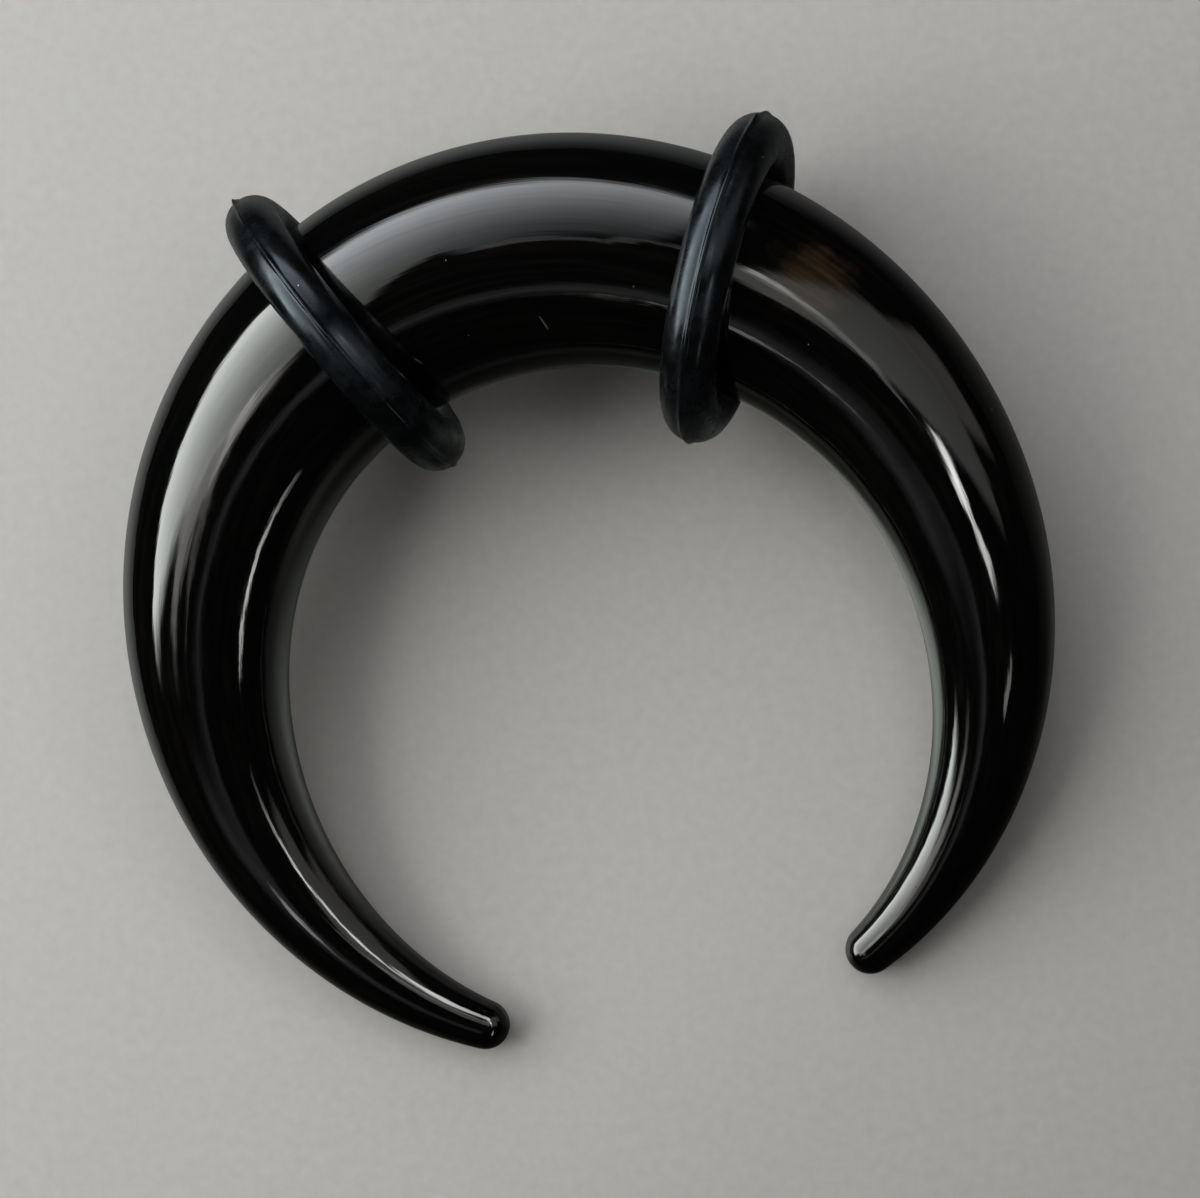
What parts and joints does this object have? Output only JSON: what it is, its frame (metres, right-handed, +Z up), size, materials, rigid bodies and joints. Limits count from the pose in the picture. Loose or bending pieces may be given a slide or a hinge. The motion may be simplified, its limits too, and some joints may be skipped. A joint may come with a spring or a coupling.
{
  "type": "buffalo taper",
  "caption": "Crescent stretching taper for a pierced ear: a curved horn, thick in the middle and thin at both tips, with rubber O-rings that keep it in place.",
  "frame": {"origin": "on the surface the taper lies on, under the middle of its box", "axes": "+X across the crescent from the shorter arm to the longer one, +Y from the tips to the thick middle, +Z up from the surface"},
  "size_m": [0.0322, 0.031, 0.0118],
  "materials": {
    "buffalo_horn": "polished to a mirror gloss",
    "black_rubber": "satin, as moulded, with a fine parting line"
  },
  "bodies": {
    "root": {"taper": "buffalo_horn", "o_ring_left": "black_rubber", "o_ring_right": "black_rubber"}
  },
  "joints": []
}
